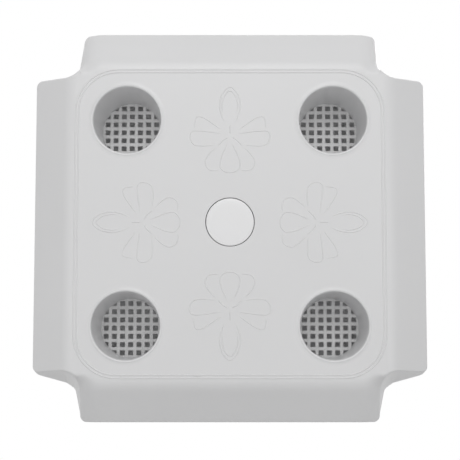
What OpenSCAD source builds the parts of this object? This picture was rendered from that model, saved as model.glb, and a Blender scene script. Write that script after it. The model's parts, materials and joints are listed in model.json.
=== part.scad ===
// Square ceiling air diffuser with a cross-shaped face, four round nozzles and a duct adaptor.
// +Z points up into the ceiling void. The origin is the centre of the ceiling plane, and the
// face hangs below it.

/* [Face] */
// Width of the face over two opposite wing tips
face_w = 300; // [285:1:360]
// Depth of the face from its front panel to its back edge
face_depth = 43; // [38:0.5:52]
// How far the back edge stays below the ceiling plane
back_gap = 1; // [0.5:0.1:3]
// Half the width of the flat front panel, up to where the wings start to slope
panel_half = 117.5; // [114:0.5:119]
// How far each wing tip lies behind the front panel
wing_drop = 19; // [12:0.5:24]
// Half the width of a wing beside the notch, at the front
notch_front = 110; // [107:0.5:111]
// Half the width of a wing beside the notch, at the back edge
notch_back = 121.5; // [119.5:0.5:124]
// How much a wing narrows on each side for each unit of its length
wing_taper = 0.172; // [0.1:0.01:0.2]
// Distance of the notch fillet's axis from the centre, along X and along Y
notch_axis = 128.5; // [127:0.5:131]
// Height of a wing's side wall at its tip
tip_wall = 4; // [3.5:0.5:20]
// Thickness of the moulded face
face_wall = 2.5; // [2:0.1:3]

/* [Nozzles] */
// Distance of a nozzle's axis from the centre, along X and along Y
nozzle_pos = 77.8; // [70:0.1:79]
// Inner radius of a nozzle at the front
nozzle_front_r = 25.5; // [20:0.1:25.5]
// Inner radius of a nozzle at its grille
nozzle_back_r = 23; // [18:0.1:24]
// Wall thickness of a nozzle
nozzle_wall = 2; // [1.5:0.1:2.5]
// How far a nozzle's rim stands proud of the panel
rim_proud = 0.7; // [0.3:0.1:1.5]
// Width of the collar that seats on the back of the panel
collar_w = 3; // [2:0.5:5]
// Pitch of the grille's square openings
mesh_pitch = 6.45; // [5:0.05:8]
// Width of a grille bar
mesh_bar = 2.57; // [1.5:0.01:3]
// Thickness of a grille
mesh_t = 2; // [1.5:0.1:3]

/* [Centre cap and screw] */
// Radius of the centre cap
cap_r = 18; // [15:0.5:22]
// Gap round the cap
cap_gap = 0.5; // [0.4:0.1:0.8]
// Depth of the socket behind the cap
socket_depth = 8.5; // [8:0.5:12]
// Radius of the fixing screw's shank
screw_r = 2.5; // [2:0.25:3]
// Outer radius of the post that the fixing screw runs through
post_r = 9; // [7:0.5:11]

/* [Mounting frame] */
// Half the outer width of the square neck
neck_half = 110; // [107:0.5:110]
// Height of the neck above the ceiling plane
neck_h = 28; // [22:1:40]
// Wall thickness of the neck
neck_wall = 3; // [2:0.25:3.5]
// Thickness of the flange
flange_t = 3.5; // [3:0.25:5]
// Half the width of the flange's square core
core_half = 116.5; // [115:0.5:117]
// Half the length of the flange's arms, behind the wings
arm_reach = 141; // [138:1:142]
// Half the width of the flange's arms
arm_half = 104; // [80:1:106]
// Radius of the circle through the ceiling screw holes
hole_circle_r = 130; // [125:0.5:132]
// Radius of a ceiling screw hole
hole_r = 2.5; // [2:0.1:3.5]

/* [Bridge] */
// Width of the steel bridge bar
bridge_w = 20; // [16:1:26]
// Thickness of the bridge bar
bridge_t = 2; // [1.5:0.25:3]
// Height of the bridge bar's underside above the ceiling plane
bridge_z = 6; // [4:0.5:10]

/* [Duct adaptor] */
// Outer radius of the round spigot
spigot_r = 75; // [62:0.5:78]
// Length of the spigot
spigot_len = 50; // [45:1:80]
// Wall thickness of the adaptor
adaptor_wall = 2.5; // [2:0.25:3]
// Height of the tapered hood between the neck and the spigot
hood_h = 26; // [20:1:40]
// How far the adaptor's skirt reaches down the neck
skirt_h = 14; // [12:0.5:18]

/* [Shutter] */
// Distance of the shutter plate's underside from the foot of the spigot
plate_rise = 26; // [22:1:30]
// Thickness of the fixed plate and of the shutter disc
plate_t = 2; // [1.5:0.25:3]
// Radius of the shutter's axle
axle_r = 4; // [3:0.25:6]
// Radius of the hub on the plate and on the disc
hub_r = 12; // [10:0.5:16]
// Length of the finger tab under the disc
tab_len = 9; // [6:0.5:12]

/* [Fits] */
// Gap between pieces that slide past each other
slide_gap = 0.3; // [0.2:0.05:0.5]
// Radial clearance of a shaft that turns or slides in its hole
shaft_gap = 0.05; // [0.02:0.01:0.1]
// Radial clearance of a fixed screw in its hole
screw_gap = 0.1; // [0.05:0.05:0.3]

/* [Hidden] */
$fn = 96;
far = 400;                                       // longer than anything that it cuts
over = 1;                                        // how far a cut runs past a face
tip = face_w / 2;
face_back = -back_gap;
face_front = face_back - face_depth;
panel_back = face_front + face_wall;
slope = atan2(wing_drop, tip - panel_half);
flare = atan2(notch_back - notch_front, face_depth);
taper = atan(wing_taper);
wall_slope = atan2(face_depth - wing_drop - tip_wall, tip - notch_back);
fillet_front = notch_axis - notch_front;         // radius of the notch fillet at the front
fillet_back = notch_axis - notch_back;           // and at the back edge
stick = 45;                                      // reach of a notch past its fillet's axis
chamfer_tilt = atan2(fillet_front - fillet_back, face_depth);

grille_edge = 1;                                 // width of the seat round a grille
grille_r = nozzle_back_r + grille_edge;
grille_inset = 0.5;                              // back of a grille, inside its nozzle's end
grille_front = -mesh_t - grille_inset;
nozzle_out_front = nozzle_front_r + nozzle_wall;
nozzle_out_back = grille_r + nozzle_wall;
collar_t = 2;                                    // thickness of the collar behind the panel
mesh_count = ceil(nozzle_back_r / mesh_pitch);

hole_in_panel = cap_r + cap_gap;
socket_floor = face_front + socket_depth;
socket_wall = 2.5;
post_top = bridge_z - slide_gap;
washer_t = 1;
washer_r = 2.4 * screw_r;
head_h = 3;
head_r = 2.2 * screw_r;
nut_h = 5;
nut_r = 2.4 * screw_r;
screw_top = bridge_z + bridge_t + nut_h + 2;

neck_in = neck_half - neck_wall;
seal_groove_w = 4;
seal_groove_d = 1.5;
seal_in = neck_half + 1;
tab_h = 14;                                      // height of the bridge bar's turned-up ends
bridge_screw_z = bridge_z + bridge_t + 6;
small_screw_r = 2;
small_head_r = 4;
small_head_h = 2.2;

seal_t = 2;
hood_z = neck_h + seal_t;
skirt_in = neck_half + slide_gap;
skirt_out = skirt_in + adaptor_wall + 0.5;
spigot_z = hood_z + hood_h;
spigot_in = spigot_r - adaptor_wall;
shoulder_r = spigot_r + 6;                       // radius of the step round the foot of the spigot
duct_seal_t = 1;                                 // thickness of the foam ring on that step
duct_seal_gap = 1.5;                             // space between the ring and the spigot
duct_seal_edge = 1;                              // bare edge outside the ring
plate_z = spigot_z + plate_rise;
ledge_w = 3;                                     // width and height of the ledge under the fixed plate
disc_z = plate_z - slide_gap - plate_t;
washer_gap = 1.2;                                // thickness of the wave washer under the disc
washer_z = disc_z - washer_gap;
clip_t = 1.2;
clip_z = washer_z - clip_t;
axle_low = clip_z - 1.5;
axle_top = plate_z + plate_t;
axle_rim = axle_r + 2.5;                         // radius of the axle's head and of its clip
axle_head_h = 1.5;
grip_w = 3;                                      // width and length of the finger tab
grip_l = 16;
grip_start = spigot_in - ledge_w - 22;           // distance of its inner end from the axis
sector = 45;                                     // angle of each opening of the shutter
blade_lap = 3;                                   // how far each blade overlaps the plate, in degrees
adaptor_screw_z = hood_z - skirt_h + 4;
adaptor_screw_pos = 70;

plastic = [0.86, 0.87, 0.87];
dark_plastic = [0.75, 0.76, 0.77];
steel = [0.72, 0.73, 0.75];
zinc = [0.8, 0.8, 0.76];
foam = [0.25, 0.25, 0.27];

// ---- helpers ----

module quarters() {
    for (turn = [0:90:270]) rotate([0, 0, turn]) children();
}

module square_tube(outer, inner, low, high) {
    difference() {
        translate([-outer, -outer, low]) cube([2 * outer, 2 * outer, high - low]);
        translate([-inner, -inner, low - over]) cube([2 * inner, 2 * inner, high - low + 2 * over]);
    }
}

module ring(outer, inner, low, high) {
    translate([0, 0, low]) difference() {
        cylinder(r = outer, h = high - low);
        translate([0, 0, -over]) cylinder(r = inner, h = high - low + 2 * over);
    }
}

// ---- face ----

// Space outside one notch: a cone round the fillet's axis, drawn out along both wings
module notch_cut() {
    reach = notch_axis + stick;
    low = face_front;
    pull = wing_taper * stick;
    nib = 0.01;
    hull() {
        translate([notch_axis, notch_axis, low])
            cylinder(r1 = fillet_front, r2 = fillet_back, h = face_depth, $fn = 48);
        for (swap = [0, 1]) mirror([swap, -swap, 0]) {
            translate([reach, notch_front - pull, low]) cube(nib);
            translate([reach, notch_back - pull, low + face_depth]) cube(nib);
        }
        translate([reach, reach, low]) cube([nib, nib, face_depth]);
    }
}

// Everything beyond the side wall of the +X wing, moved inwards by inset
module beside_wing(inset) {
    translate([notch_axis, notch_front - inset, face_front]) rotate([-flare, 0, 0]) rotate([0, 0, -taper])
        translate([-far / 2, 0, -far / 2]) cube([far, far, far]);
}

// The inner faces of a notch: both side walls and a chamfer behind the fillet
module notch_inside(inset) {
    corner = notch_axis * sqrt(2) - fillet_front - inset;
    intersection() {
        beside_wing(inset);
        mirror([1, -1, 0]) beside_wing(inset);
        rotate([0, 0, 45]) translate([corner, 0, face_front]) rotate([0, chamfer_tilt, 0])
            translate([0, -far / 2, -far / 2]) cube([far, far, far]);
    }
}

// Everything in front of the sloping face of the +X wing, moved back by inset
module before_wing(inset) {
    translate([panel_half, 0, face_front + inset]) rotate([0, -slope, 0])
        translate([-far / 2, -far / 2, -far]) cube([far, far, far]);
}

// Everything behind the side walls of the +X wing, which get shallower towards its tip
module behind_wing() {
    translate([notch_back, 0, face_back]) rotate([0, wall_slope, 0])
        translate([0, -far / 2, 0]) cube([far, far, far]);
}

module nozzle_places() {
    for (x = [-1, 1], y = [-1, 1]) translate([x * nozzle_pos, y * nozzle_pos, 0]) children();
}

module face_solid() {
    difference() {
        translate([-tip, -tip, face_front]) cube([2 * tip, 2 * tip, face_depth]);
        quarters() notch_cut();
        quarters() before_wing(0);
        quarters() behind_wing();
    }
}

module face_hollow() {
    room = tip + over;
    difference() {
        translate([-room, -room, panel_back]) cube([2 * room, 2 * room, face_depth]);
        quarters() notch_inside(face_wall);
        quarters() before_wing(face_wall / cos(slope));
    }
}

module face_panel() {
    color(plastic) difference() {
        union() {
            difference() {
                face_solid();
                face_hollow();
            }
            translate([0, 0, face_front])
                cylinder(r = hole_in_panel + socket_wall, h = socket_depth + socket_wall);
            translate([0, 0, socket_floor]) cylinder(r = post_r, h = post_top - socket_floor);
        }
        translate([0, 0, face_front - over]) cylinder(r = hole_in_panel, h = socket_depth + over);
        translate([0, 0, face_front]) cylinder(r = screw_r + slide_gap, h = far);
        nozzle_places() translate([0, 0, face_front - over])
            cylinder(r = nozzle_out_front + screw_gap, h = face_wall + 2 * over);
    }
}

// A tapered tube with a collar behind the panel and a seat for its grille
module nozzle(x, y) {
    seat = grille_r + screw_gap;
    color(plastic) translate([x * nozzle_pos, y * nozzle_pos, 0]) rotate_extrude() polygon([
        [nozzle_front_r, face_front - rim_proud],
        [nozzle_out_front, face_front - rim_proud],
        [nozzle_out_front, panel_back],
        [nozzle_out_front + collar_w, panel_back],
        [nozzle_out_front + collar_w, panel_back + collar_t],
        [nozzle_out_front, panel_back + collar_t],
        [nozzle_out_back, 0],
        [seat, 0],
        [seat, grille_front],
        [nozzle_back_r, grille_front]
    ]);
}

module grille(x, y) {
    hole = mesh_pitch - mesh_bar;
    sliver = 1;
    reach = nozzle_back_r + hole / 2 - sliver;
    color(dark_plastic) translate([x * nozzle_pos, y * nozzle_pos, grille_front]) linear_extrude(mesh_t)
        difference() {
            circle(r = grille_r);
            intersection() {
                circle(r = nozzle_back_r);
                for (i = [-mesh_count:mesh_count], j = [-mesh_count:mesh_count])
                    if (norm([i, j]) * mesh_pitch < reach)
                        translate([i * mesh_pitch, j * mesh_pitch]) square(hole, center = true);
            }
        }
}

module fixing_screw() {
    low = socket_floor - washer_t;
    recess_r = 0.6 * head_r;
    recess_w = 1;
    color(zinc) difference() {
        union() {
            translate([0, 0, low - head_h]) cylinder(r = head_r, h = head_h);
            translate([0, 0, low - over]) cylinder(r = screw_r, h = screw_top - low + over);
        }
        for (turn = [0, 90]) rotate([0, 0, turn]) translate([-recess_r, -recess_w / 2, low - head_h - over])
            cube([2 * recess_r, recess_w, over + head_h / 2]);
    }
}

module screw_washer() {
    color(zinc) ring(washer_r, screw_r + screw_gap, socket_floor - washer_t, socket_floor);
}

// A shallow cap with a snap skirt that slides into the socket
module centre_cap() {
    skirt_r = cap_r - 0.7;
    skirt_t = 1.6;
    skirt_end = socket_floor - 1;
    cap_t = 2.5;
    dome = 0.5;
    color("white") rotate_extrude() polygon([
        [0, face_front - dome],
        [cap_r * 0.6, face_front - dome * 0.8],
        [cap_r - 1, face_front - dome * 0.4],
        [cap_r, face_front + dome],
        [cap_r, face_front + cap_t],
        [skirt_r, face_front + cap_t],
        [skirt_r, skirt_end],
        [skirt_r - skirt_t, skirt_end],
        [skirt_r - skirt_t, face_front + cap_t],
        [0, face_front + cap_t]
    ]);
}

// ---- mounting frame ----

module mounting_frame() {
    color(plastic) difference() {
        union() {
            for (turn = [0, 90]) rotate([0, 0, turn]) translate([-arm_reach, -arm_half, -flange_t])
                cube([2 * arm_reach, 2 * arm_half, flange_t]);
            translate([-core_half, -core_half, -flange_t]) cube([2 * core_half, 2 * core_half, flange_t]);
            translate([-neck_half, -neck_half, -flange_t])
                cube([2 * neck_half, 2 * neck_half, flange_t + neck_h]);
        }
        translate([-neck_in, -neck_in, -far / 2]) cube([2 * neck_in, 2 * neck_in, far]);
        square_tube(seal_in + seal_groove_w, seal_in, -seal_groove_d, over);
        quarters() translate([hole_circle_r, 0, -flange_t - over]) cylinder(r = hole_r, h = far);
        bridge_screw_places() cylinder(r = small_screw_r, h = far);
        adaptor_screw_places() cylinder(r = small_screw_r, h = far, center = true);
    }
}

module ceiling_seal() {
    color(foam) square_tube(seal_in + seal_groove_w, seal_in, -seal_groove_d, 0);
}

// ---- bridge ----

// The axes of the two bridge screws, along +Y and -Y from the centre line
module bridge_screw_places() {
    for (turn = [0, 180]) rotate([0, 0, turn]) translate([0, 0, bridge_screw_z]) rotate([-90, 0, 0])
        children();
}

module bridge_bar() {
    color(steel) difference() {
        union() {
            translate([-bridge_w / 2, -neck_in, bridge_z]) cube([bridge_w, 2 * neck_in, bridge_t]);
            for (turn = [0, 180]) rotate([0, 0, turn])
                translate([-bridge_w / 2, neck_in - bridge_t, bridge_z]) cube([bridge_w, bridge_t, tab_h]);
        }
        translate([0, 0, bridge_z - over]) cylinder(r = screw_r + slide_gap, h = bridge_t + 2 * over);
        bridge_screw_places() cylinder(r = small_screw_r + screw_gap, h = far);
    }
}

module bridge_screws() {
    head = neck_in - bridge_t - small_head_h;
    color(zinc) bridge_screw_places() {
        translate([0, 0, head]) cylinder(r = small_head_r, h = small_head_h);
        translate([0, 0, head]) cylinder(r = small_screw_r, h = neck_half - head);
    }
}

module captive_nut() {
    color(zinc) translate([0, 0, bridge_z + bridge_t]) difference() {
        cylinder(r = nut_r, h = nut_h, $fn = 6);
        translate([0, 0, -over]) cylinder(r = screw_r + shaft_gap, h = nut_h + 2 * over, $fn = 96);
    }
}

// ---- duct adaptor ----

module adaptor_screw_places() {
    quarters() for (side = [-1, 1]) translate([side * adaptor_screw_pos, neck_half, adaptor_screw_z])
        rotate([-90, 0, 0]) children();
}

module hood(half, radius, low, high) {
    hull() {
        translate([-half, -half, low]) cube([2 * half, 2 * half, 0.01]);
        translate([0, 0, high - 0.01]) cylinder(r = radius, h = 0.01, $fn = 64);
    }
}

module duct_adaptor() {
    foot = spigot_z - adaptor_wall - over;
    color(plastic) difference() {
        union() {
            square_tube(skirt_out, skirt_in, hood_z - skirt_h, hood_z);
            hood(skirt_out, shoulder_r, hood_z, spigot_z);
            translate([0, 0, spigot_z - over]) cylinder(r = spigot_r, h = spigot_len + over);
        }
        hood(neck_in, spigot_in - adaptor_wall, hood_z - over, spigot_z - adaptor_wall);
        translate([0, 0, foot]) cylinder(r = spigot_in - ledge_w, h = far);
        translate([0, 0, foot]) cylinder(r = spigot_in, h = plate_z - ledge_w - foot);
        translate([0, 0, plate_z]) cylinder(r = spigot_in, h = far);
        adaptor_screw_places() cylinder(r = small_screw_r + screw_gap, h = far, center = true);
    }
}

module adaptor_seal() {
    color(foam) square_tube(neck_half, neck_in, neck_h, hood_z);
}

module adaptor_screws() {
    out = skirt_out - neck_half;
    color(zinc) adaptor_screw_places() {
        translate([0, 0, -neck_wall]) cylinder(r = small_screw_r, h = neck_wall + out + small_head_h);
        translate([0, 0, out]) cylinder(r = small_head_r, h = small_head_h);
    }
}

module spigot_seal() {
    color(foam) ring(shoulder_r - duct_seal_edge, spigot_r + duct_seal_gap, spigot_z, spigot_z + duct_seal_t);
}

// ---- shutter ----

// Four openings between a hub and a rim, each as wide as the angle given
module sector_holes(angle, inner, outer) {
    quarters() rotate([0, 0, -angle / 2]) rotate_extrude(angle = angle)
        translate([inner, -far / 2]) square([outer - inner, far]);
}

module fixed_plate() {
    rim = spigot_in - ledge_w - 1;
    color(dark_plastic) difference() {
        translate([0, 0, plate_z]) cylinder(r = spigot_in - screw_gap / 2, h = plate_t);
        sector_holes(sector - 2 * blade_lap, hub_r, rim);
        translate([0, 0, plate_z - over]) cylinder(r = axle_r, h = plate_t + 2 * over);
    }
}

module shutter_disc() {
    outer = spigot_in - ledge_w - slide_gap;
    color(dark_plastic) translate([0, 0, disc_z]) difference() {
        cylinder(r = outer, h = plate_t);
        sector_holes(sector, hub_r, outer + over);
        translate([0, 0, -over]) cylinder(r = axle_r + shaft_gap, h = plate_t + 2 * over);
    }
}

module finger_tab() {
    color(plastic) rotate([0, 0, sector]) translate([grip_start, -grip_w / 2, disc_z - tab_len])
        cube([grip_l, grip_w, tab_len]);
}

module shutter_axle() {
    color(steel) {
        translate([0, 0, axle_low]) cylinder(r = axle_r, h = axle_top - axle_low);
        translate([0, 0, axle_top]) cylinder(r = axle_rim, h = axle_head_h);
    }
}

module wave_washer() {
    color(steel) ring(axle_rim + 1, axle_r + screw_gap, washer_z, disc_z - screw_gap);
}

module axle_clip() {
    color(steel) ring(axle_rim, axle_r, clip_z, washer_z);
}

face_panel();
nozzle(-1, -1);  // nozzle_front_left
nozzle(1, -1);  // nozzle_front_right
nozzle(-1, 1);  // nozzle_back_left
nozzle(1, 1);  // nozzle_back_right
grille(-1, -1);  // grille_front_left
grille(1, -1);  // grille_front_right
grille(-1, 1);  // grille_back_left
grille(1, 1);  // grille_back_right
fixing_screw();
screw_washer();
centre_cap();
mounting_frame();
ceiling_seal();
bridge_bar();
bridge_screws();
captive_nut();
duct_adaptor();
adaptor_seal();
adaptor_screws();
spigot_seal();
fixed_plate();
shutter_disc();
finger_tab();
shutter_axle();
wave_washer();
axle_clip();
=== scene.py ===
"""Looks of the ceiling air diffuser. +Z is up into the ceiling void, and the face hangs below z = 0.

The camera looks up from below, with +X on its right and -Y at its top.
"""
import json
import math

import bmesh
import bpy
import numpy as np
from mathutils import Matrix, Vector
from mathutils.geometry import tessellate_polygon


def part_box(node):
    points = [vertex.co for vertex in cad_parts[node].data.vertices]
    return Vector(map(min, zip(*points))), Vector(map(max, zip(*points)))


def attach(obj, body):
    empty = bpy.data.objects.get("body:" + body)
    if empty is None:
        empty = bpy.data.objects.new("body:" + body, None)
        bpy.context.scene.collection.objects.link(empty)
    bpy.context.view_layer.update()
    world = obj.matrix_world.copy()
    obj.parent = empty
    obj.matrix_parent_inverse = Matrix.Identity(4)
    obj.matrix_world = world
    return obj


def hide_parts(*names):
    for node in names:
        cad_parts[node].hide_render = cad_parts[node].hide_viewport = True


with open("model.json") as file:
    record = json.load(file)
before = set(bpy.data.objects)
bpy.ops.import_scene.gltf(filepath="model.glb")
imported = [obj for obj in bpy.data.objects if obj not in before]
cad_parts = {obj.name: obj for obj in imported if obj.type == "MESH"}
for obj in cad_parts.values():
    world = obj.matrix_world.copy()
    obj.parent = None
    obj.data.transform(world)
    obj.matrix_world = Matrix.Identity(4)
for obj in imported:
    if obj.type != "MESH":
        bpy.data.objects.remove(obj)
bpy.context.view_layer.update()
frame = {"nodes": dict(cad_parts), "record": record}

# ---- sizes of the face, in metres, as in the part's source ----

FACE_LOW, FACE_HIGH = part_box("face_panel")
TIP = FACE_HIGH.x                       # wing tips, from the centre
FRONT = FACE_LOW.z                      # plane of the front panel
BACK_GAP = 0.001                        # back edge below the ceiling plane
DEPTH = -BACK_GAP - FRONT               # front panel to back edge
PANEL_HALF = 0.1175                     # where the wings start to slope
WING_DROP = 0.019                       # wing tip behind the front panel
WING_SLOPE = WING_DROP / (TIP - PANEL_HALF)
NOTCH_FRONT = 0.110                     # half width of a wing at the front
NOTCH_BACK = 0.1215                     # and at the back edge
NOTCH_AXIS = 0.1285                     # axis of the notch fillet
FLARE = (NOTCH_BACK - NOTCH_FRONT) / DEPTH
TAPER = 0.12                            # how much a wing narrows along its length, a little less than in CAD
LEAN = math.atan(TAPER)
SIDE_NORMAL = (math.sin(LEAN), math.cos(LEAN))          # out of the +X wing's side wall, in plan
SIDE_ALONG = (math.cos(LEAN), -math.sin(LEAN))          # and along it, towards the tip
TIP_WALL = 0.004                        # height of a wing's side wall at its tip
WALL_SLOPE = (DEPTH - WING_DROP - TIP_WALL) / (TIP - NOTCH_BACK)
WALL = 0.0025                           # thickness of the moulding
NOZZLE_POS = 0.0778                     # a nozzle's axis, in x and in y
NOZZLE_HOLE = 0.0276                    # radius of a nozzle's hole in the panel
CAP_HOLE = 0.0185                       # radius of the cap's socket
SOCKET_DEPTH = 0.0085


# ---- helpers ----

def add_piece(name, part, body, slot, replaces=(), smooth_angle=35.0):
    """A piece that rides on a body, smooth except across edges sharper than smooth_angle.

    The part is (vertices, faces), and the slot gives the piece its material.
    """
    verts, faces = part
    mesh = bpy.data.meshes.new(name)
    mesh.from_pydata([tuple(v) for v in verts], [], faces)
    bm = bmesh.new()
    bm.from_mesh(mesh)
    bmesh.ops.remove_doubles(bm, verts=bm.verts, dist=2e-6)
    bmesh.ops.dissolve_degenerate(bm, edges=bm.edges, dist=1e-7)
    bmesh.ops.recalc_face_normals(bm, faces=bm.faces)
    limit = math.radians(smooth_angle)
    for face in bm.faces:
        face.smooth = True
    for edge in bm.edges:
        edge.smooth = len(edge.link_faces) == 2 and edge.calc_face_angle(0.0) < limit
    bm.to_mesh(mesh)
    bm.free()
    mesh.materials.append(FINISH[slot])
    piece = bpy.data.objects.new(name, mesh)
    bpy.context.scene.collection.objects.link(piece)
    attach(piece, body)
    if replaces:
        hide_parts(*replaces)


def grid_faces(rows, columns):
    """Quads of a grid of points, stored column by column, whose last column joins the first."""
    faces = []
    for c in range(columns):
        a, b = c * rows, (c + 1) % columns * rows
        for r in range(rows - 1):
            faces.append((a + r, b + r, b + r + 1, a + r + 1))
    return faces


def revolve(profile, centre=(0, 0), segments=96):
    """Vertices and quads of a profile of (radius, z) points turned about a vertical axis."""
    verts = []
    for s in range(segments):
        angle = 2 * math.pi * s / segments
        for radius, z in profile:
            verts.append((centre[0] + radius * math.cos(angle), centre[1] + radius * math.sin(angle), z))
    return verts, grid_faces(len(profile), segments)


def merged(parts):
    """Several (vertices, faces) parts as one."""
    verts, faces = [], []
    for part_verts, part_faces in parts:
        start = len(verts)
        verts.extend(part_verts)
        faces.extend(tuple(start + i for i in face) for face in part_faces)
    return verts, faces


def placed(part, place):
    """A part moved to a place, which is a 4 x 4 matrix."""
    return [tuple(place @ Vector(v)) for v in part[0]], part[1]


def arc(centre, radius, start, end, steps):
    """Points along an arc, with its angles in degrees."""
    turn = [math.radians(start + (end - start) * i / steps) for i in range(steps + 1)]
    return [(centre[0] + radius * math.cos(a), centre[1] + radius * math.sin(a)) for a in turn]


# ---- materials ----

def new_material(name):
    """A node material, with its node tree, its shader and the object's own coordinates."""
    material = bpy.data.materials.new(name)
    material.use_nodes = True
    tree = material.node_tree
    place = tree.nodes.new("ShaderNodeTexCoord").outputs["Object"]
    return material, tree, tree.nodes["Principled BSDF"], place


def noise(tree, place, scale, detail):
    """Soft noise, laid out by a socket of coordinates."""
    node = tree.nodes.new("ShaderNodeTexNoise")
    node.inputs["Scale"].default_value = scale
    node.inputs["Detail"].default_value = detail
    tree.links.new(place, node.inputs["Vector"])
    return node.outputs["Fac"]


def spread(tree, value, low, high, from_low=0.0, from_high=1.0):
    """A value spread over a new range."""
    node = tree.nodes.new("ShaderNodeMapRange")
    node.inputs["From Min"].default_value = from_low
    node.inputs["From Max"].default_value = from_high
    node.inputs["To Min"].default_value = low
    node.inputs["To Max"].default_value = high
    tree.links.new(value, node.inputs["Value"])
    return node.outputs["Result"]


def blend(tree, share, first, second):
    """A colour between two colours."""
    node = tree.nodes.new("ShaderNodeMix")
    node.data_type = "RGBA"
    node.inputs["A"].default_value = (*first, 1)
    node.inputs["B"].default_value = (*second, 1)
    tree.links.new(share, node.inputs["Factor"])
    return node.outputs["Result"]


def bumps(tree, height, strength, distance):
    """A surface normal with fine bumps."""
    node = tree.nodes.new("ShaderNodeBump")
    node.inputs["Strength"].default_value = strength
    node.inputs["Distance"].default_value = distance
    tree.links.new(height, node.inputs["Height"])
    return node.outputs["Normal"]


def shades(colour, factor):
    """A colour made darker or paler."""
    return [min(1, c * factor) for c in colour]


def moulded_plastic(name, colour, roughness=0.37, grain=2600.0, grain_height=0.00003, mottle=0.03):
    """Moulded plastic: fine spark-eroded grain, faint flow mottling and uneven gloss."""
    material, tree, shader, place = new_material(name)
    shader.inputs["IOR"].default_value = 1.49
    flow = spread(tree, noise(tree, place, 9.0, 5.0), 0.0, 1.0, 0.3, 0.7)
    tint = blend(tree, flow, shades(colour, 1 - mottle), shades(colour, 1 + mottle))
    tree.links.new(tint, shader.inputs["Base Color"])
    gloss = spread(tree, noise(tree, place, 60.0, 3.0), roughness - 0.06, roughness + 0.06)
    tree.links.new(gloss, shader.inputs["Roughness"])
    grains = bumps(tree, noise(tree, place, grain, 2.0), 0.35, grain_height)
    tree.links.new(grains, shader.inputs["Normal"])
    return material


def plated_steel(name, colour, stretch=(40.0, 900.0, 900.0)):
    """Rolled or plated steel: fine stretched scratches and a slightly uneven sheen."""
    material, tree, shader, place = new_material(name)
    shader.inputs["Metallic"].default_value = 1.0
    squeeze = tree.nodes.new("ShaderNodeMapping")
    squeeze.inputs["Scale"].default_value = stretch
    tree.links.new(place, squeeze.inputs["Vector"])
    scratch = noise(tree, squeeze.outputs["Vector"], 1.0, 4.0)
    tree.links.new(blend(tree, scratch, shades(colour, 0.86), colour), shader.inputs["Base Color"])
    tree.links.new(spread(tree, scratch, 0.22, 0.44), shader.inputs["Roughness"])
    tree.links.new(bumps(tree, scratch, 0.25, 0.00005), shader.inputs["Normal"])
    return material


def cell_foam(name, colour):
    """Closed-cell foam: small round cells that darken the surface and roughen it."""
    material, tree, shader, place = new_material(name)
    shader.inputs["Roughness"].default_value = 0.95
    cells = tree.nodes.new("ShaderNodeTexVoronoi")
    cells.inputs["Scale"].default_value = 1400.0
    tree.links.new(place, cells.inputs["Vector"])
    depth = cells.outputs["Distance"]
    tree.links.new(blend(tree, depth, shades(colour, 1.5), shades(colour, 0.6)), shader.inputs["Base Color"])
    tree.links.new(bumps(tree, depth, 0.6, 0.0003), shader.inputs["Normal"])
    return material


FINISH = {
    "face_plastic": moulded_plastic("face_plastic", (0.71, 0.71, 0.715), mottle=0.012),
    "cap_plastic": moulded_plastic("cap_plastic", (0.80, 0.80, 0.805), roughness=0.36, mottle=0.01),
    "grille_plastic": moulded_plastic("grille_plastic", (0.75, 0.75, 0.75), roughness=0.5),
    "frame_plastic": moulded_plastic("frame_plastic", (0.78, 0.78, 0.785), roughness=0.5,
                                     grain=1500.0, grain_height=0.00008),
    "shutter_plastic": moulded_plastic("shutter_plastic", (0.62, 0.63, 0.64), roughness=0.5),
    "bright_steel": plated_steel("bright_steel", (0.66, 0.66, 0.67)),
    "zinc_plated_steel": plated_steel("zinc_plated_steel", (0.66, 0.66, 0.63), stretch=(300.0, 300.0, 900.0)),
    "seal_foam": cell_foam("seal_foam", (0.05, 0.05, 0.055)),
}
SLOT_OF = {row["node"]: row["material_slot"] for row in frame["record"]["subparts"]}


def finish_cad_nodes():
    """Gives each CAD node the material of its slot."""
    for name, node in frame["nodes"].items():
        node.data.materials.clear()
        node.data.materials.append(FINISH[SLOT_OF[name]])


# ---- the face moulding ----

BEAD_HALF = 0.1155                      # centre line of the bead, from the centre
BEAD_CORNER = 0.031
BEND_START, BEND_END = -0.002, 0.009    # the bend where a wing starts, either side of PANEL_HALF
TIP_CORNER = 0.0045                     # rounding of the wing tips in plan
CRISP = 0.0016                          # edge rounding of the left and right wings
BROAD = 0.018                           # edge rounding of the top and bottom wings
TIP_ROUND = 0.0018
ROUND_REACH = 0.765                     # how far a rounding reaches inside its sharp edge, in radii
ROUND_SHIFT = 0.1                       # and how far outside it the section's edge lies
BACK_LIP = 0.0006                       # how far the rounded back edge stands past the side wall's foot
TIP_SPAN, CORNER_SPAN, SIDE_SPAN = 0.96, 1.02, 1.12    # ends on the bead, in halves of its straight side
ROUND_END = 0.93                        # how far a broad rounding goes over, in radii
RUN_ROWS, SOFT_ROWS, ARC_ROWS, WALL_ROWS = 4, 9, 6, 8
TIP_COLUMNS, CORNER_COLUMNS, SIDE_COLUMNS, FILLET_COLUMNS = 18, 11, 12, 12


def soft_ramp(value):
    """A ramp that bends in gently and meets the straight one at the wing tip."""
    if value <= BEND_START:
        return 0.0
    middle, reach = (BEND_START + BEND_END) / 2, TIP - PANEL_HALF
    steeper = reach / (reach - middle)
    if value >= BEND_END:
        return steeper * (value - middle)
    return steeper * (value - BEND_START) ** 2 / (2 * (BEND_END - BEND_START))


def ramp_depth(x, y):
    """Depth of the sloping wings behind the panel's plane."""
    return WING_SLOPE * soft_ramp(max(abs(x), abs(y)) - PANEL_HALF)


def fillet_radius(depth):
    """Radius of the notch fillet at a depth behind the panel's plane."""
    return NOTCH_AXIS - NOTCH_FRONT - FLARE * depth


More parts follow.
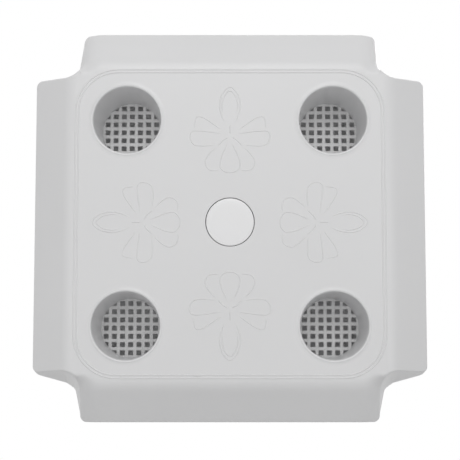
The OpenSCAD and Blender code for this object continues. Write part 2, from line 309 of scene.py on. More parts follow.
def side_round(x, y, broad):
    """Radius of the rounding beside a +X wing, which fades towards the notch's diagonal."""
    if not broad:
        return 0.0
    if (x - NOTCH_AXIS) * SIDE_ALONG[0] + (y - NOTCH_AXIS) * SIDE_ALONG[1] > 0:
        return BROAD
    turn = math.atan2(NOTCH_AXIS - x, NOTCH_AXIS - y)
    share = min(1.0, max(0.0, (turn - LEAN) / (math.pi / 4 - LEAN)))
    return BROAD * (1 - share ** 3)


def past_edge(x, y, depth):
    """How far a point lies outside the sharp edge between a +X wing and its notch."""
    across = (x - NOTCH_AXIS) * SIDE_NORMAL[0] + (y - NOTCH_AXIS) * SIDE_NORMAL[1]
    if (x - NOTCH_AXIS) * SIDE_ALONG[0] + (y - NOTCH_AXIS) * SIDE_ALONG[1] > 0:
        return across + fillet_radius(depth)
    return fillet_radius(depth) - math.hypot(x - NOTCH_AXIS, y - NOTCH_AXIS)


def front_depth(x, y, broad=False):
    """Depth of the front surface behind the panel's plane, with the broad rounding beside a wing."""
    y = abs(y)
    depth = ramp_depth(x, y)
    radius = side_round(x, y, broad)
    if radius < 1e-6:
        return depth
    inside = past_edge(x, y, depth) + ROUND_REACH * radius
    if inside <= 0:
        return depth
    return depth + radius - math.sqrt(radius ** 2 - min(inside, ROUND_END * radius) ** 2)


def notch_edge(along, direction, broad):
    """Where the front surface meets the notch wall, along the side wall or round the fillet."""
    depth = 0.0
    for _ in range(15):
        radius = fillet_radius(depth)
        x = NOTCH_AXIS - radius * direction[0] + along * SIDE_ALONG[0]
        y = NOTCH_AXIS - radius * direction[1] + along * SIDE_ALONG[1]
        depth = ramp_depth(x, y)
    shift = ROUND_SHIFT * side_round(x, y, broad)
    return x + shift * direction[0], y + shift * direction[1]


def half_wing(broad):
    """Stations along half of the +X wing, from its centre line to the notch's diagonal.

    Each is (edge point, outward direction, side, bead length, turned): side runs from 0 at the tip to 1 on
    the side wall, bead length is the place on the bead where the station's section starts, and turned runs
    from 0 at the side wall to 1 on the notch's diagonal.
    """
    centre_u = TIP - TIP_CORNER
    shift = ROUND_SHIFT * BROAD if broad else 0.0
    inset = fillet_radius(ramp_depth(centre_u, 0)) + TIP_CORNER - shift
    centre_v = NOTCH_AXIS - (inset + (centre_u - NOTCH_AXIS) * SIDE_NORMAL[0]) / SIDE_NORMAL[1]
    straight = BEAD_HALF - BEAD_CORNER
    stations = []
    for v in np.linspace(0, centre_v, TIP_COLUMNS)[:-1]:
        stations.append(((TIP, v), (1.0, 0.0), 0.0, v / centre_v * straight * TIP_SPAN, 0.0))
    for turn in np.linspace(0, math.pi / 2 - LEAN, CORNER_COLUMNS):
        direction = (math.cos(turn), math.sin(turn))
        point = (centre_u + TIP_CORNER * direction[0], centre_v + TIP_CORNER * direction[1])
        share = turn / (math.pi / 2 - LEAN)
        length = straight * (TIP_SPAN + (CORNER_SPAN - TIP_SPAN) * share)
        stations.append((point, direction, share, length, 0.0))
    last = (centre_u - NOTCH_AXIS) * SIDE_ALONG[0] + (centre_v - NOTCH_AXIS) * SIDE_ALONG[1]
    for along in np.linspace(last, 0, SIDE_COLUMNS)[1:-1]:
        length = straight * (CORNER_SPAN + (SIDE_SPAN - CORNER_SPAN) * (1 - along / last))
        stations.append((notch_edge(along, SIDE_NORMAL, broad), SIDE_NORMAL, 1.0, length, 0.0))
    start, end = straight * SIDE_SPAN, straight + BEAD_CORNER * math.pi / 4
    for turn in np.linspace(LEAN, math.pi / 4, FILLET_COLUMNS):
        direction = (math.sin(turn), math.cos(turn))
        share = (turn - LEAN) / (math.pi / 4 - LEAN)
        length = start + (end - start) * share
        stations.append((notch_edge(0, direction, broad), direction, 1.0, length, share))
    return stations


def bead_point(length):
    """Point on the bead's rounded square, a given length from the middle of its +X side."""
    straight = BEAD_HALF - BEAD_CORNER
    if length <= straight:
        return BEAD_HALF, length
    turn = (length - straight) / BEAD_CORNER
    return straight + BEAD_CORNER * math.cos(turn), straight + BEAD_CORNER * math.sin(turn)


def bend(edge, direction, depth_at, tilt, radius, foot):
    """Points of a section over an edge: an arc from the front surface to the wall, then down to the foot."""
    step = 0.0005
    here = depth_at(*edge)
    inside = depth_at(edge[0] - step * direction[0], edge[1] - step * direction[1])
    front_way = Vector((-1.0, -(here - inside) / step)).normalized()
    wall_way = Vector((tilt, 1.0)).normalized()
    half = front_way.angle(wall_way) / 2
    room = max(foot - here, 0.0) / wall_way.y
    # The arc gets smaller where it would use up the wall
    reach = min(radius / math.tan(half), 0.85 * room)
    radius = reach * math.tan(half)
    middle = Vector((0.0, here)) + (front_way + wall_way).normalized() * (radius / math.sin(half))
    first = Vector((0.0, here)) + front_way * reach - middle
    last = Vector((0.0, here)) + wall_way * reach - middle
    at_first = (edge[0] + (middle.x + first.x) * direction[0], edge[1] + (middle.x + first.x) * direction[1])
    lift = depth_at(*at_first) - (middle.y + first.y)
    points = []
    for i in range(ARC_ROWS + 1):
        share = i / ARC_ROWS
        spoke = first.lerp(last, share)
        place = middle + (spoke.normalized() * radius if spoke.length > 1e-7 else spoke)
        points.append((place.x, place.y + lift * (1 - share)))
    start = middle + last
    end_depth = max(foot, start.y)
    for i in range(1, WALL_ROWS + 1):
        depth = start.y + (end_depth - start.y) * i / WALL_ROWS
        points.append((start.x + tilt * (depth - start.y), depth))
    return [(edge[0] + s * direction[0], edge[1] + s * direction[1], d) for s, d in points]


def front_run(start, end, depth_at, soft):
    """Points of the front surface from the bead to a section's arc, closer at the shoulder and rounding."""
    far_start, far_end = max(start), max(end[0], end[1])
    span = max(far_end - far_start, 1e-6)
    # Shares of the run where the shoulder starts and ends, kept in order where the run is short
    low = min(max((PANEL_HALF + BEND_START - far_start) / span, 0.02), 0.4)
    high = min(max((PANEL_HALF + BEND_END - far_start) / span, low + 0.05), 0.55)
    length = math.hypot(end[0] - start[0], end[1] - start[1])
    begin = max(high + 0.1, 1 - soft / length)
    # Close rows from low to high, over the shoulder, and again from begin to the arc
    shares = [0.0, low / 2, *np.linspace(low, high, 9), *np.linspace(high, begin, RUN_ROWS)[1:]]
    shares += list(np.linspace(begin, 1.0, SOFT_ROWS)[1:-1])
    points = []
    for share in shares:
        x, y = start[0] + (end[0] - start[0]) * share, start[1] + (end[1] - start[1]) * share
        points.append((x, y, depth_at(x, y)))
    return points


def wing_columns(broad):
    """Closed sections of a whole +X wing, from one notch's diagonal to the other's."""
    shared = 0.003                          # edge rounding where two wings meet
    inner_start, inner_round = 0.0004, 0.0008
    sooner = 0.001                          # how much sooner than in CAD the side wall gets shallower
    half = []

    def outside(x, y):
        return front_depth(x, y, broad)

    def inside(x, y):
        return front_depth(x, y, broad) + WALL

    for edge, direction, side, length, turned in half_wing(broad):
        radius = TIP_ROUND + (CRISP - TIP_ROUND) * side
        fade = min(1.0, max(0.0, (turned - 0.3) / 0.7))
        radius += (shared - radius) * fade
        edge_depth = outside(*edge)
        least = edge_depth + 1.1 * WALL
        full = DEPTH - BACK_LIP - WALL_SLOPE * max(0.0, edge[0] + sooner - NOTCH_BACK)
        foot = least + max(0.0, full - least) * min(1.0, side * 1.5)
        tilt = FLARE * side
        start = bead_point(length)
        outer = bend(edge, direction, outside, tilt, radius, foot)
        inset = inner_start + (WALL - inner_start) * side
        inner_edge = (edge[0] - inset * direction[0], edge[1] - inset * direction[1])
        inner = bend(inner_edge, direction, inside, tilt, inner_round * side + 1e-5, foot)
        middle = [(outer[-1][i] + inner[-1][i]) / 2 for i in range(3)]
        middle[2] += BACK_LIP * side
        soft = BROAD if broad else 0.004
        column = front_run(start, outer[0], outside, soft) + outer + [tuple(middle)]
        column += list(reversed(front_run(start, inner[0], inside, soft) + inner))
        half.append(column)
    mirrored = [[(x, -y, d) for x, y, d in column] for column in reversed(half[1:])]
    return mirrored + half


def quarter_turn(point, turns):
    """A point turned about the centre by quarter turns."""
    x, y, d = point
    for _ in range(turns):
        x, y = -y, x
    return x, y, d


def circle(centre, radius, segments=96):
    """Outline of a circle."""
    turns = [2 * math.pi * s / segments for s in range(segments)]
    return [(centre[0] + radius * math.cos(a), centre[1] + radius * math.sin(a)) for a in turns]


def plate(outline, holes, z):
    """Vertices and triangles of a flat plate with holes."""
    loops = [[Vector((x, y, 0)) for x, y in loop] for loop in [outline, *holes]]
    verts = [(x, y, z) for loop in [outline, *holes] for x, y in loop]
    return verts, [tuple(t) for t in tessellate_polygon(loops)]


def nozzle_centres():
    """Where the four nozzles' axes cross the panel."""
    return [(x * NOZZLE_POS, y * NOZZLE_POS) for x in (-1, 1) for y in (-1, 1)]


def face_shell():
    """The face moulding: panel, wings, notch walls, hub and fixing post in one closed mesh."""
    columns = []
    for turns in range(4):
        for column in wing_columns(broad=turns % 2 == 1):
            columns.append([quarter_turn(p, turns) for p in column])
    wings = [(x, y, FRONT + d) for column in columns for x, y, d in column]
    outline = [column[0][:2] for column in columns]
    nozzle_holes = [circle(c, NOZZLE_HOLE) for c in nozzle_centres()]
    nozzle_wall = [(NOZZLE_HOLE, FRONT), (NOZZLE_HOLE, FRONT + WALL)]
    rim, post, bore = 0.0002, 0.009, 0.0028             # cap hole's rounding, and the fixing post's radii
    level = CAP_HOLE + rim + 0.0015                     # outside of the level ring round the cap
    cup, floor = CAP_HOLE + WALL, FRONT + SOCKET_DEPTH
    mouth = [(CAP_HOLE + rim * (1 - math.sin(a)), FRONT + rim * (1 - math.cos(a)))
             for a in np.linspace(0, math.pi / 2, 5)]
    socket = [(level, FRONT), *mouth, (CAP_HOLE, floor), (bore, floor), (bore, FACE_HIGH.z),
              (post, FACE_HIGH.z), (post, floor + WALL), (cup, floor + WALL), (cup, FRONT + WALL)]
    parts = [(wings, grid_faces(len(columns[0]), len(columns))),
             plate(outline, [*nozzle_holes, circle((0, 0), level)], FRONT),
             plate(outline, [*nozzle_holes, circle((0, 0), cup)], FRONT + WALL),
             *[revolve(nozzle_wall, centre) for centre in nozzle_centres()],
             revolve(socket)]
    add_piece("face_shell", merged(parts), "face", "face_plastic", ["face_panel"])


# ---- raised lines on the panel ----

def ridge(path, width, height, closed=False, sides=6):
    """Vertices and faces of a low half-round ridge along a line of (x, y) points on the panel."""
    count = len(path)
    verts, faces = [], []
    sink = 0.0002
    for i, (x, y) in enumerate(path):
        before = path[(i - 1) % count] if closed or i else path[i]
        after = path[(i + 1) % count] if closed or i < count - 1 else path[i]
        along = Vector((after[0] - before[0], after[1] - before[1])).normalized()
        taper = 1.0
        if not closed:
            taper = max(0.15, min(1.0, min(i, count - 1 - i) / (0.12 * count)))
        for k in range(sides + 1):
            angle = math.pi * k / sides
            across = math.cos(angle) * width / 2 * (0.4 + 0.6 * taper)
            rise = math.sin(angle) * height * taper
            base = FRONT + ramp_depth(x, y)
            verts.append((x - along.y * across, y + along.x * across, base + sink - rise))
        verts.append((x, y, base + 2 * sink))
    ring = sides + 2
    for i in range(count if closed else count - 1):
        a, b = i * ring, (i + 1) % count * ring
        for k in range(ring):
            faces.append((a + k, b + k, b + (k + 1) % ring, a + (k + 1) % ring))
    if not closed:
        faces.append(tuple(range(ring)))
        faces.append(tuple(range((count - 1) * ring, count * ring)))
    return verts, faces


def rounded_square(half, corner, steps=16):
    """Outline of a square with rounded corners."""
    inner = half - corner
    path = []
    for k, (x, y) in enumerate([(1, 1), (-1, 1), (-1, -1), (1, -1)]):
        path += arc((x * inner, y * inner), corner, 90 * k, 90 * k + 90, steps)
    return path


def bead():
    """Two fine parallel ridges round the panel."""
    gap = 0.0011
    lines = [ridge(rounded_square(BEAD_HALF + s * gap, BEAD_CORNER + s * gap), 0.0013, 0.00065, closed=True)
             for s in (-1, 1)]
    add_piece("panel_bead", merged(lines), "face", "face_plastic", smooth_angle=80)


FLOWER_REACH = 0.066                    # a flower's heart, from the panel's centre
# Lines of a flower in mm from its heart, as (across, outwards). Those in PAIRED are drawn on both sides.
SINGLE = [
    [(-1.5, 6), (-5.5, 13), (-7.8, 22), (-6.5, 30), (-3, 35.5), (0, 37), (3, 35.5), (6.5, 30), (7.8, 22),
     (5.5, 13), (1.5, 6)],
    [(-4.4, 15), (-5.9, 22), (-4.7, 29), (-1.7, 33.4), (0, 34), (1.7, 33.4), (4.7, 29), (5.9, 22), (4.4, 15)],
    [(0, -2), (-3, -9), (-6.5, -17), (-7.4, -24), (-4, -27.6), (0, -28.4), (4, -27.6), (7.4, -24), (6.5, -17),
     (3, -9), (0, -2)],
    [(0, 1), (0, 4.5), (0, 8)],
]
PAIRED = [
    [(-3, 1), (-12, 2.2), (-22, 3.4), (-28, 3.2), (-30.2, 0), (-29, -5), (-25, -7.8), (-15, -7.8),
     (-8, -6.5)],
    [(-5, 3), (-13, 9), (-20, 13.5), (-25, 14.2), (-26.6, 10), (-27, 4.5)],
    [(-9.5, -8.3), (-15, -13.5), (-18.7, -20), (-16.5, -25.5), (-12, -26.9), (-7.6, -26.3)],
    [(-1.5, -1.5), (-5, -3.5), (-9.5, -8.3)],
]


def between(a, b, c, d, t):
    """A value between b and c on the smooth curve through four values."""
    slope, dip, twist = c - a, 2 * a - 5 * b + 4 * c - d, 3 * b - a - 3 * c + d
    return 0.5 * (2 * b + slope * t + dip * t ** 2 + twist * t ** 3)


def smooth_line(points, steps=6):
    """A curve through all the points of a line."""
    path = []
    for i in range(len(points) - 1):
        a, b = points[max(i - 1, 0)], points[i]
        c, d = points[i + 1], points[min(i + 2, len(points) - 1)]
        for t in np.linspace(0, 1, steps, endpoint=False):
            path.append(tuple(between(a[k], b[k], c[k], d[k], t) for k in (0, 1)))
    return [*path, points[-1]]


def flower(outward):
    """One flower: a tall double petal that points outwards, two lobes on each side and three inwards."""
    lines = SINGLE + PAIRED + [[(-across, out) for across, out in line] for line in PAIRED]
    c, s = math.cos(outward), math.sin(outward)
    ridges = []
    for line in lines:
        path = []
        for across, out in smooth_line(line):
            away, aside = FLOWER_REACH + out / 1000, across / 1000
            path.append((away * c - aside * s, away * s + aside * c))
        ridges.append(ridge(path, 0.00105, 0.00055))
    return ridges


def flowers():
    """The four flower reliefs, one towards each wing."""
    parts = [part for k in range(4) for part in flower(k * math.pi / 2)]
    add_piece("flower_relief", merged(parts), "face", "face_plastic", smooth_angle=80)


# ---- nozzles, grilles and cap ----

CORNERS = {"front_left": (-1, -1), "front_right": (1, -1), "back_left": (-1, 1), "back_right": (1, 1)}
RIM_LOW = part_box("nozzle_front_left")[0].z
GRILLE_LOW, GRILLE_HIGH = (corner.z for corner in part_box("grille_front_left"))
MESH_PITCH, MESH_HOLE, MESH_EDGE = 0.00645, 0.00388, 0.023
NOZZLE_IN, NOZZLE_OUT = 0.0255, 0.0275  # radii of a nozzle's rim
TUBE_END, SEAT, BORE = 0.0261, 0.0241, 0.0230          # of its back end, grille seat and narrowest place
COLLAR, COLLAR_T = 0.0305, 0.002        # radius and thickness of its collar


def closed_turn(profile, centre=(0, 0), segments=96):
    """A closed profile turned about a vertical axis."""
    return revolve([*profile, profile[0]], centre, segments)


def nozzle(name):
    """A tapered tube with a rounded rim, a collar behind the panel and a seat for its grille."""
    x, y = CORNERS[name]
    inner, outer, skirt = 0.0014, 0.0006, 0.0022
    edge = 0.0003
    near, far = FRONT + WALL, FRONT + WALL + COLLAR_T
    profile = arc((NOZZLE_IN + inner, RIM_LOW + inner), inner, 180, 270, 9)
    profile += arc((NOZZLE_OUT - outer, RIM_LOW + outer), outer, 270, 330, 4)
    profile += [(NOZZLE_OUT + skirt * t, FRONT - 0.0004 * (1 - t) ** 2) for t in (0.05, 0.2, 0.4, 0.7, 1.0)]
    profile += [(NOZZLE_OUT + skirt, FRONT), (NOZZLE_OUT, FRONT), (NOZZLE_OUT, near)]
    profile += [(COLLAR - edge, near), (COLLAR, near + edge), (COLLAR, far - edge), (COLLAR - edge, far)]
    profile += [(NOZZLE_OUT + 0.0004, far), (NOZZLE_OUT, far + 0.0004)]
    profile += [(TUBE_END, -2 * edge), (TUBE_END - 0.0004, 0.0), (SEAT + 0.0002, 0.0), (SEAT, -edge)]
    profile += [(SEAT, GRILLE_LOW), (BORE + edge, GRILLE_LOW), (BORE + 0.00002, GRILLE_LOW - edge)]
    tube = closed_turn(profile, (x * NOZZLE_POS, y * NOZZLE_POS), 128)
    add_piece("nozzle_tube_" + name, tube, "face", "face_plastic", ["nozzle_" + name])


def cut_to_disc(outline, radius, sides=64):
    """The part of a convex outline that lies inside a disc round the origin."""
    for k in range(sides):
        angle = 2 * math.pi * (k + 0.5) / sides
        nx, ny = math.cos(angle), math.sin(angle)
        kept = []
        for i, (x, y) in enumerate(outline):
            px, py = outline[i - 1]
            here, there = x * nx + y * ny - radius, px * nx + py * ny - radius
            if here * there < 0:
                share = there / (there - here)
                kept.append((px + (x - px) * share, py + (y - py) * share))
            if here <= 0:
                kept.append((x, y))
        outline = kept
        if not outline:
            break
    return outline


def scaled(outline, factor):
    """An outline made larger or smaller about its middle."""
    cx = sum(x for x, y in outline) / len(outline)
    cy = sum(y for x, y in outline) / len(outline)
    return [(cx + (x - cx) * factor, cy + (y - cy) * factor) for x, y in outline]


def mesh_openings():
    """Outlines of a grille's openings: soft-cornered squares, cut off at the edge of the nozzle."""
    reach = MESH_EDGE + MESH_HOLE / 2 - 0.001
    steps = math.ceil(MESH_EDGE / MESH_PITCH)
    openings = []
    for i in range(-steps, steps + 1):
        for j in range(-steps, steps + 1):
            if math.hypot(i, j) * MESH_PITCH >= reach:
                continue
            square = rounded_square(MESH_HOLE / 2, 0.0005, 3)
            outline = [(x + i * MESH_PITCH, y + j * MESH_PITCH) for x, y in square]
            outline = cut_to_disc(outline, MESH_EDGE - 0.0001)
            if len(outline) > 2:
                openings.append(outline)
    return openings


def grille(name):
    """A moulded square mesh with softened edges round each opening."""
    x, y = CORNERS[name]
    soft, rim = 0.00022, 0.024
    openings = mesh_openings()
    wide = [scaled(outline, 1 + 2 * soft / MESH_HOLE) for outline in openings]
    disc = circle((0, 0), rim - soft, 72)
    edge = [(rim - soft, GRILLE_LOW), (rim, GRILLE_LOW + soft), (rim, GRILLE_HIGH - soft),
            (rim - soft, GRILLE_HIGH)]
    parts = [plate(disc, wide, GRILLE_LOW), plate(disc, openings, GRILLE_HIGH), revolve(edge, segments=72)]
    for outline, opened in zip(openings, wide):
        points = []
        for (x0, y0), (x1, y1) in zip(outline, opened):
            points += [(x1, y1, GRILLE_LOW), (x0, y0, GRILLE_LOW + soft), (x0, y0, GRILLE_HIGH)]
        parts.append((points, grid_faces(3, len(outline))))
    mesh = placed(merged(parts), Matrix.Translation((x * NOZZLE_POS, y * NOZZLE_POS, 0)))
    add_piece("grille_mesh_" + name, mesh, "face", "grille_plastic", ["grille_" + name])


def cap():
    """A shallow domed disc with a rounded edge and a thin snap skirt."""
    low, high = (corner.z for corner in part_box("centre_cap"))
    radius, edge, back = 0.018, 0.0006, FRONT + 0.0025
    outer, inner = 0.0173, 0.0157                       # radii of the snap skirt
    dome = [(radius * 0.97 * t, low + 0.0004 * t ** 4) for t in np.linspace(0, 0.98, 12)]
    rounded = arc((radius - edge, low + 0.0005 + edge), edge, 285, 360, 6)
    skirt = [(radius, back), (outer, back), (outer, high - 0.0012), (outer + 0.00015, high - 0.0007),
             (outer - 0.0002, high), (inner + 0.0004, high), (inner, high - 0.0005), (inner, back), (0, back)]
    disc = revolve([*dome, *rounded, *skirt], segments=128)
    add_piece("cap_disc", disc, "cap", "cap_plastic", ["centre_cap"])


# ---- fixings ----

def pan_head(radius, height, recess):
    """Verts and faces of a domed screw head with a cross recess. It stands on z = 0 and faces +Z."""
    rings, segments = 16, 64
    arm, reach = radius * 0.13, radius * 0.55
    verts = [(0, 0, height - recess)]
    for r in range(1, rings + 1):
        away = radius * math.sin(math.pi / 2 * r / rings)
        for k in range(segments):
            angle = 2 * math.pi * k / segments
            x, y = away * math.cos(angle), away * math.sin(angle)
            z = height * (0.35 + 0.65 * math.sqrt(max(0.0, 1 - (away / radius) ** 2)))
            inside = min(abs(x), abs(y)) < arm and max(abs(x), abs(y)) < reach
            verts.append((x, y, height - recess if inside else z))
    for k in range(segments):
        angle = 2 * math.pi * k / segments
        verts.append((radius * math.cos(angle), radius * math.sin(angle), 0))
    faces = [(0, 1 + k, 1 + (k + 1) % segments) for k in range(segments)]
    for r in range(rings):
        a, b = 1 + r * segments, 1 + (r + 1) * segments
        for k in range(segments):
            n = (k + 1) % segments
            faces.append((a + k, b + k, b + n, a + n))
    faces.append(tuple(range(1 + rings * segments, 1 + (rings + 1) * segments)))
    return verts, faces


def thread(radius, low, high, pitch, depth):
    """Verts and faces of a threaded shank between two heights, closed at both ends."""
    segments = 24
    rows = int((high - low) / (pitch / 6))
    verts = []
    for k in range(segments):
        for r in range(rows + 1):
            z = low + (high - low) * r / rows
            phase = (z / pitch + k / segments) % 1.0
            cut = depth * abs(2 * phase - 1)
            fade = min(1.0, (high - z) / pitch)
            away = radius - cut * fade - (1 - fade) * depth
            angle = 2 * math.pi * k / segments
            verts.append((away * math.cos(angle), away * math.sin(angle), z))
    faces = grid_faces(rows + 1, segments)
    faces.append(tuple(k * (rows + 1) for k in range(segments)))
    faces.append(tuple(k * (rows + 1) + rows for k in range(segments)))
    return verts, faces


def screw(head_r, head_h, shank_r, length, recess):
    """A screw whose head's underside is at z = 0, with its head towards +Z."""
    return merged([pan_head(head_r, head_h, recess), thread(shank_r, -length, 0.0, 0.0011, 0.00028)])


def fixing_screw():
    """The centre screw, with its head down towards the cap."""
    low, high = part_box("fixing_screw")
    head_h = 0.003
    down = Matrix.Translation((0, 0, low.z + head_h)) @ Matrix.Rotation(math.pi, 4, "X")
    part = placed(screw(0.0055, head_h, 0.0025, high.z - low.z - head_h, 0.0015), down)
    add_piece("fixing_screw_threaded", part, "face", "zinc_plated_steel", ["fixing_screw"])


def facing(direction, place):
    """A matrix that turns +Z to a direction and moves the origin to a place."""
    turn = Vector(direction).to_track_quat("Z", "Y").to_matrix().to_4x4()
    return Matrix.Translation(place) @ turn


def small_screws():
    """The two screws of the bridge bar and the eight of the duct adaptor."""
    head_r, head_h, shank_r, recess = 0.004, 0.0022, 0.002, 0.0012
    bar_end, bar_z = 0.105, 0.014           # seats of the bridge's screws
    bar_screw = screw(head_r, head_h, shank_r, 0.005, recess)
    bridge = [placed(bar_screw, facing((0, -s, 0), (0, s * bar_end, bar_z))) for s in (-1, 1)]
    add_piece("bridge_screws_threaded", merged(bridge), "frame", "zinc_plated_steel", ["bridge_screws"])
    out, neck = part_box("duct_adaptor")[1].x, 0.110      # outside of the skirt and of the neck
    apart, side_z = 0.07, 0.020
    side_screw = screw(head_r, head_h, shank_r, out - neck + 0.003, recess)
    sides = []
    for k in range(4):
        away = Vector((math.cos(k * math.pi / 2), math.sin(k * math.pi / 2), 0))
        along = Vector((-away.y, away.x, 0))
        for s in (-apart, apart):
            sides.append(placed(side_screw, facing(away, away * out + along * s + Vector((0, 0, side_z)))))
    add_piece("adaptor_screws_threaded", merged(sides), "frame", "zinc_plated_steel", ["adaptor_screws"])


def wave_ring(inner, outer, low, high):
    """A thin sprung ring that waves between two heights."""
    waves, sheet, segments = 3, 0.0003, 96
    middle, swing = (low + high) / 2, (high - low - sheet) / 2
    verts = []
    for k in range(segments):
        angle = 2 * math.pi * k / segments
        z = middle + swing * math.cos(waves * angle)
        for radius, side in ((inner, -1), (outer, -1), (outer, 1), (inner, 1), (inner, -1)):
            verts.append((radius * math.cos(angle), radius * math.sin(angle), z + side * sheet / 2))
    return verts, grid_faces(5, segments)


# ---- pieces with softened edges ----

def softened(name, node, body, slot, width, extra=()):
    """A node's shape with rounded edges, plus any details given."""
    source = frame["nodes"][node]
    crease = math.radians(30)
    bm = bmesh.new()
    bm.from_mesh(source.data)
    bmesh.ops.transform(bm, matrix=source.matrix_world, verts=bm.verts)
    bmesh.ops.remove_doubles(bm, verts=bm.verts, dist=1e-6)
    bmesh.ops.dissolve_limit(bm, angle_limit=math.radians(1), verts=bm.verts, edges=bm.edges)
    sharp = [e for e in bm.edges if len(e.link_faces) == 2 and e.calc_face_angle(0.0) > crease]
    bmesh.ops.bevel(bm, geom=sharp, offset=width, offset_type="OFFSET", segments=2, profile=0.5,
                    affect="EDGES", clamp_overlap=True)
    bm.verts.index_update()
    verts = [tuple(v.co) for v in bm.verts]
    faces = [tuple(v.index for v in f.verts) for f in bm.faces]
    bm.free()
    add_piece(name, merged([(verts, faces), *extra]), body, slot, [node], smooth_angle=28)


def ring_ridge(radius, z, width, height):
    """A half-round ridge round a vertical cylinder."""
    root, half = radius - 0.0003, width / 2
    profile = [(radius + height * math.sin(a), z + half * math.cos(a)) for a in np.linspace(0, math.pi, 9)]
    return closed_turn([(root, z + half), *profile, (root, z - half)])


def prism(outline, low, high):
    """An upright prism with the outline given."""
    count = len(outline)
    verts = [(x, y, z) for z in (low, high) for x, y in outline]
    faces = [tuple(range(count)), tuple(range(count, 2 * count))]
    faces += [(i, (i + 1) % count, count + (i + 1) % count, count + i) for i in range(count)]
    return verts, faces


def washer_pads():
    """Raised pads round the ceiling screw holes, on the flange's underside."""
    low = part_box("mounting_frame")[0].z
    screw_circle, bore, pad = 0.130, 0.0027, 0.0066     # radii
    foot, root = low - 0.0010, low + 0.0002
    profile = [(bore, root), (bore, foot + 0.0002), (bore + 0.0004, foot), (pad - 0.0006, foot),
               (pad, foot + 0.0006), (pad, root)]
    return [closed_turn(profile, (screw_circle * math.cos(a), screw_circle * math.sin(a)), 48)
            for a in np.arange(4) * math.pi / 2]


def hood_ribs():
    """Four upright ribs on each side of the adaptor's skirt, under its hood."""
    low, high = 0.0165, 0.0300
    half, proud, sunk = 0.0012, 0.0011, 0.0003
    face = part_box("duct_adaptor")[1].x
    root, edge, top = face - sunk, face + proud * 0.7, face + proud
    ribs = []
    for k in range(4):
        turn = Matrix.Rotation(k * math.pi / 2, 4, "Z")
        for y in np.linspace(-0.045, 0.045, 4):
            outline = [(root, y - half), (edge, y - half), (top, y - half * 0.5),
                       (top, y + half * 0.5), (edge, y + half), (root, y + half)]
            ribs.append(placed(prism(outline, low, high), turn))
    return ribs


def grip_ridges():
    """Fine ridges across both faces of the finger tab."""
    low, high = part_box("finger_tab")[0].z + 0.0006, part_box("finger_tab")[1].z - 0.0012
    half, proud, sunk = 0.0004, 0.00035, 0.0002
    turn = Matrix.Rotation(math.pi / 4, 4, "Z")
    ridges = []
    for side in (-1, 1):
        for away in np.linspace(0.0495, 0.0615, 7):
            y = side * 0.0015
            outline = [(away - half, y - side * sunk), (away - half, y), (away, y + side * proud),
                       (away + half, y), (away + half, y - side * sunk)]
            ridges.append(placed(prism(outline, low, high), turn))
    return ridges


def blade_ribs():
    """A fine stiffening rib along the middle of each shutter blade, on top of the disc."""
    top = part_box("shutter_disc")[1].z
    start, end, half = 0.014, 0.064, 0.0007
    outline = [(start, -half), (end, -half), (end + 0.0008, 0), (end, half), (start, half)]
    rib = prism(outline, top - 0.0002, top + 0.00012)
    return [placed(rib, Matrix.Rotation(math.pi / 4 + k * math.pi / 2, 4, "Z")) for k in range(4)]


def back_pieces():
    """Everything behind the face that keeps its CAD shape, with softened edges."""
    soft, spigot = 0.0006, 0.075
    softened("mounting_frame_moulding", "mounting_frame", "frame", "frame_plastic", soft, extra=washer_pads())
    spigot_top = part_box("duct_adaptor")[1].z
    rings = [ring_ridge(spigot, spigot_top - 0.006, 0.003, 0.0008),
             ring_ridge(spigot, spigot_top - 0.016, 0.002, 0.0005)]
    rings += hood_ribs()
    softened("duct_adaptor_moulding", "duct_adaptor", "frame", "frame_plastic", soft, extra=rings)
    for node in ("ceiling_seal", "adaptor_seal", "spigot_seal"):
        softened(node + "_strip", node, "frame", "seal_foam", 0.0004)
    softened("bridge_bar_pressing", "bridge_bar", "frame", "bright_steel", 0.0004)
    softened("captive_nut_hex", "captive_nut", "frame", "zinc_plated_steel", 0.0005)
    softened("screw_washer_disc", "screw_washer", "face", "zinc_plated_steel", 0.0002)
    softened("fixed_plate_moulding", "fixed_plate", "frame", "shutter_plastic", 0.0004)
    ribs = blade_ribs()
    softened("shutter_disc_moulding", "shutter_disc", "shutter", "shutter_plastic", 0.0004, extra=ribs)
    softened("finger_tab_moulding", "finger_tab", "shutter", "shutter_plastic", 0.0005, extra=grip_ridges())
    softened("shutter_axle_pin", "shutter_axle", "frame", "bright_steel", 0.0005)
    softened("axle_clip_ring", "axle_clip", "frame", "bright_steel", 0.0002)
    low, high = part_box("wave_washer")
    wave = wave_ring(0.0041, high.x, low.z, high.z)
    add_piece("wave_washer_spring", wave, "frame", "bright_steel", ["wave_washer"])


# ---- stage, lights and camera ----

PANEL_IN_VIEW = 0.750                   # camera to the panel's plane
VIEW_OFFSET = 0.110                     # camera towards +Y from the panel's centre
LENS, SENSOR = 79.0, 36.0
SHIFT_UP = 0.13                         # camera shift, in picture widths
CENTRE_UP = 0.0174                      # panel's centre above the picture's middle, in picture widths


def add_camera():
    """A camera below the face and a little towards +Y, which looks up."""
    camera = bpy.data.objects.new("camera", bpy.data.cameras.new("camera"))
    bpy.context.scene.collection.objects.link(camera)
    camera.data.lens = LENS
    camera.data.sensor_width = SENSOR
    camera.data.shift_y = SHIFT_UP
    tilt = math.atan(VIEW_OFFSET / PANEL_IN_VIEW) - math.atan((CENTRE_UP + SHIFT_UP) * SENSOR / LENS)
    camera.location = (0.0, VIEW_OFFSET, FRONT - PANEL_IN_VIEW)
    camera.rotation_euler = (math.pi + tilt, 0.0, 0.0)
    bpy.context.scene.camera = camera


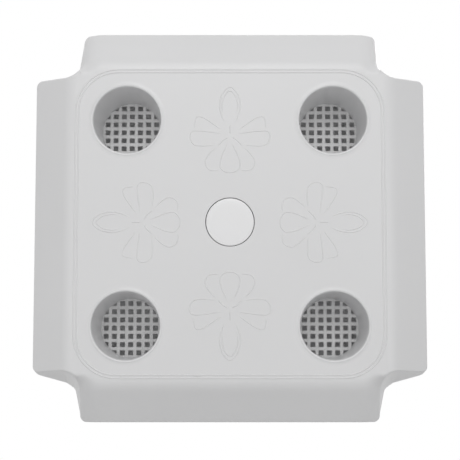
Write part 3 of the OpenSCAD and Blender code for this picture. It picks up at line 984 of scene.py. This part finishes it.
def add_area(name, place, size, power):
    """A round lamp that points at the origin and isn't seen itself."""
    lamp = bpy.data.objects.new(name, bpy.data.lights.new(name, "AREA"))
    bpy.context.scene.collection.objects.link(lamp)
    lamp.data.shape = "DISK"
    lamp.data.size = size
    lamp.data.energy = power
    lamp.location = place
    lamp.rotation_euler = (-Vector(place)).to_track_quat("-Z", "Y").to_euler()
    lamp.visible_camera = False


def add_world(ambient, slant):
    """A white surround for the camera and for reflections. Its soft light is weaker, most of all from +Y."""
    world = bpy.data.worlds.new("studio")
    bpy.context.scene.world = world
    world.use_nodes = True
    tree = world.node_tree
    back = tree.nodes["Background"]
    back.inputs["Color"].default_value = (1, 1, 1, 1)
    path = tree.nodes.new("ShaderNodeLightPath")
    white = path.outputs["Is Camera Ray"]
    for ray in ("Is Transmission Ray", "Is Glossy Ray"):
        either = tree.nodes.new("ShaderNodeMath")
        either.operation = "MAXIMUM"
        tree.links.new(white, either.inputs[0])
        tree.links.new(path.outputs[ray], either.inputs[1])
        white = either.outputs[0]
    parts = tree.nodes.new("ShaderNodeSeparateXYZ")
    tree.links.new(tree.nodes.new("ShaderNodeTexCoord").outputs["Generated"], parts.inputs["Vector"])
    soft = spread(tree, parts.outputs["Y"], ambient * (1 + slant), ambient * (1 - slant), -1.0)
    level = tree.nodes.new("ShaderNodeMapRange")
    level.inputs["To Max"].default_value = 1.0
    tree.links.new(soft, level.inputs["To Min"])
    tree.links.new(white, level.inputs["Value"])
    tree.links.new(level.outputs["Result"], back.inputs["Strength"])


def add_floor():
    """A plain pale floor well below the ceiling."""
    half, drop = 30.0, -1.6
    mesh = bpy.data.meshes.new("floor")
    mesh.from_pydata([(-half, -half, drop), (half, -half, drop), (half, half, drop), (-half, half, drop)],
                     [], [(0, 1, 2, 3)])
    floor = bpy.data.objects.new("floor", mesh)
    bpy.context.scene.collection.objects.link(floor)
    paint = moulded_plastic("floor_paint", (0.88, 0.88, 0.88), roughness=0.8, grain=300.0, mottle=0.01)
    mesh.materials.append(paint)


finish_cad_nodes()
face_shell()
bead()
flowers()
for place_name in CORNERS:
    nozzle(place_name)
    grille(place_name)
cap()
fixing_screw()
small_screws()
back_pieces()
add_floor()
add_world(ambient=0.50, slant=0.35)
add_area("key_light", (0.04, -0.80, -1.05), 0.8, 5.0)
add_area("left_light", (-0.80, 0.05, -1.10), 0.6, 1.3)
add_area("right_light", (0.80, 0.05, -1.10), 0.6, 1.3)
add_area("front_light", (0.0, 0.45, -1.40), 0.7, 1.3)
add_area("top_light", (0.5, -0.6, 1.4), 1.2, 10.0)
add_camera()
bpy.context.scene.view_settings.view_transform = "Standard"
